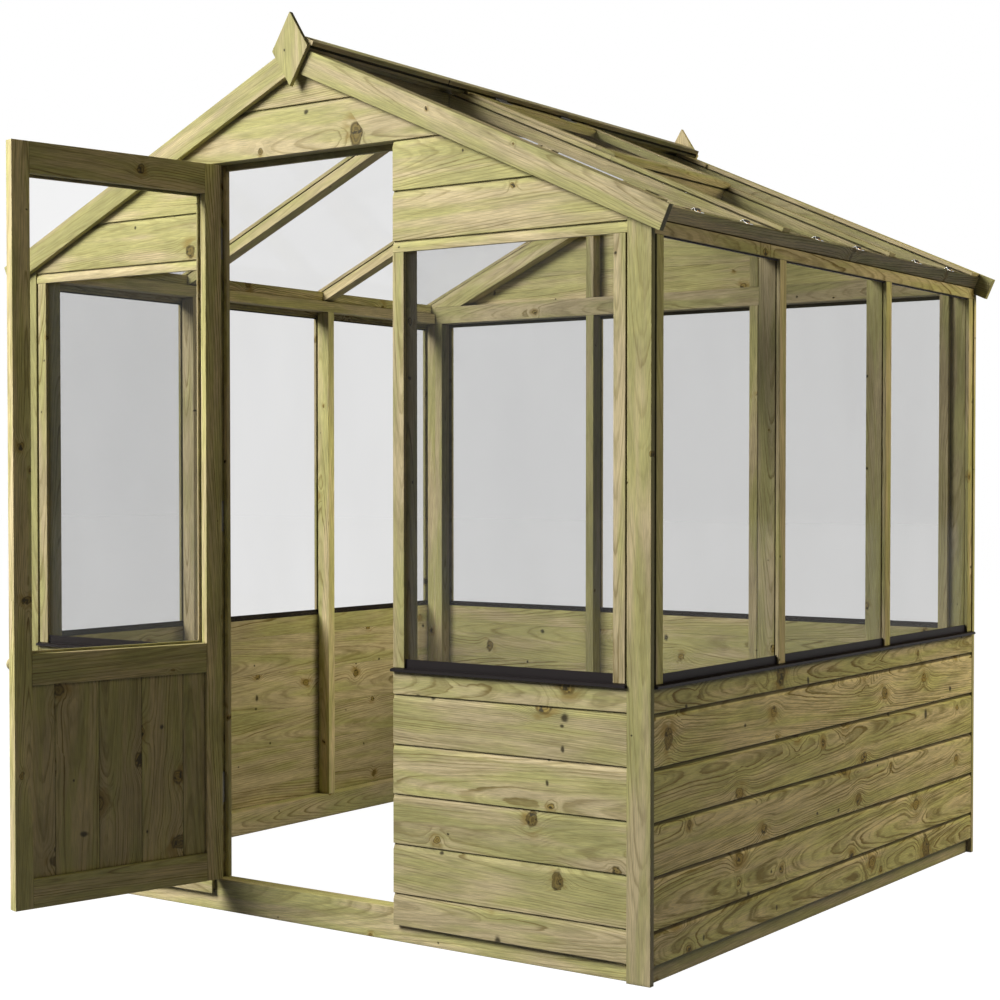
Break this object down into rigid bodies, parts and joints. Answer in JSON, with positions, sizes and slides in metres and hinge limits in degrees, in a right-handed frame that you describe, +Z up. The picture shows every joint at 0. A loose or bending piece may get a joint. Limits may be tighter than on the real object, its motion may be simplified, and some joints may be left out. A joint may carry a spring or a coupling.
{
  "type": "wooden greenhouse",
  "caption": "Apex greenhouse of shiplap-clad timber walls with glazed uppers and roof, a hinged half-glazed door and a top-hung opening roof vent.",
  "frame": {"origin": "middle of the underside of the front base rail, on the ground under the doorway", "axes": "+X across the front to the vent slope's side, +Y from the door to the rear wall, +Z up"},
  "size_m": [2.0346, 2.3568, 2.155],
  "materials": {
    "timber": "planed pressure-treated pine, knotty",
    "glass": "clear glazing",
    "sill": "dark brown",
    "hinge": "dull zinc",
    "clip": "mill",
    "screw": "satin"
  },
  "bodies": {
    "frame": {"bargeboards_front": "timber", "bargeboards_rear": "timber", "base_rail_front": "timber", "base_rails": "timber", "clip_screws": "screw", "corner_trims_front": "timber", "corner_trims_rear": "timber", "door_hinge_jamb_leaves": "hinge", "door_hinge_pins": "hinge", "door_stops": "timber", "eaves_rails": "timber", "finial_front": "timber", "finial_rear": "timber", "front_beads": "timber", "front_cladding_left": "timber", "front_cladding_right": "timber", "front_gable_boards": "timber", "front_panes": "glass", "front_rails": "timber", "front_studs": "timber", "gable_rafters": "timber", "pane_clips": "clip", "rafter_caps": "timber", "rafters": "timber", "rear_beads": "timber", "rear_cladding": "timber", "rear_gable_boards": "timber", "rear_panes": "glass", "rear_rail": "timber", "rear_studs": "timber", "ridge_beam": "timber", "ridge_caps": "timber", "ridge_spacers": "timber", "roof_panes": "glass", "side_beads": "timber", "side_cladding_left": "timber", "side_cladding_right": "timber", "side_panes": "glass", "side_studs": "timber", "side_top_battens": "timber", "sills": "sill", "vent_hinge_board": "timber", "vent_hinge_fixed": "hinge", "vent_hinge_pins": "hinge", "vent_trimmer": "timber", "wall_plates": "timber"},
    "door": {"door_beads": "timber", "door_boards": "timber", "door_hinge_door_leaves": "hinge", "door_knob": "timber", "door_pane": "glass", "door_rails": "timber", "door_stiles": "timber"},
    "vent": {"vent_hinge_moving": "hinge", "vent_pane": "glass", "vent_rails": "timber", "vent_stiles": "timber"}
  },
  "joints": [
    {"name": "door_swing", "type": "hinge", "parent": "frame", "child": "door", "pos_m": [-0.281, -0.0195, 0.953], "axis": [0, 0, 1], "range_deg": [-6, 103.6]},
    {"name": "vent_lift", "type": "hinge", "parent": "frame", "child": "vent", "pos_m": [0.06295, 0.863, 2.06449], "axis": [0, -1, 0], "range_deg": [0, 45]}
  ]
}
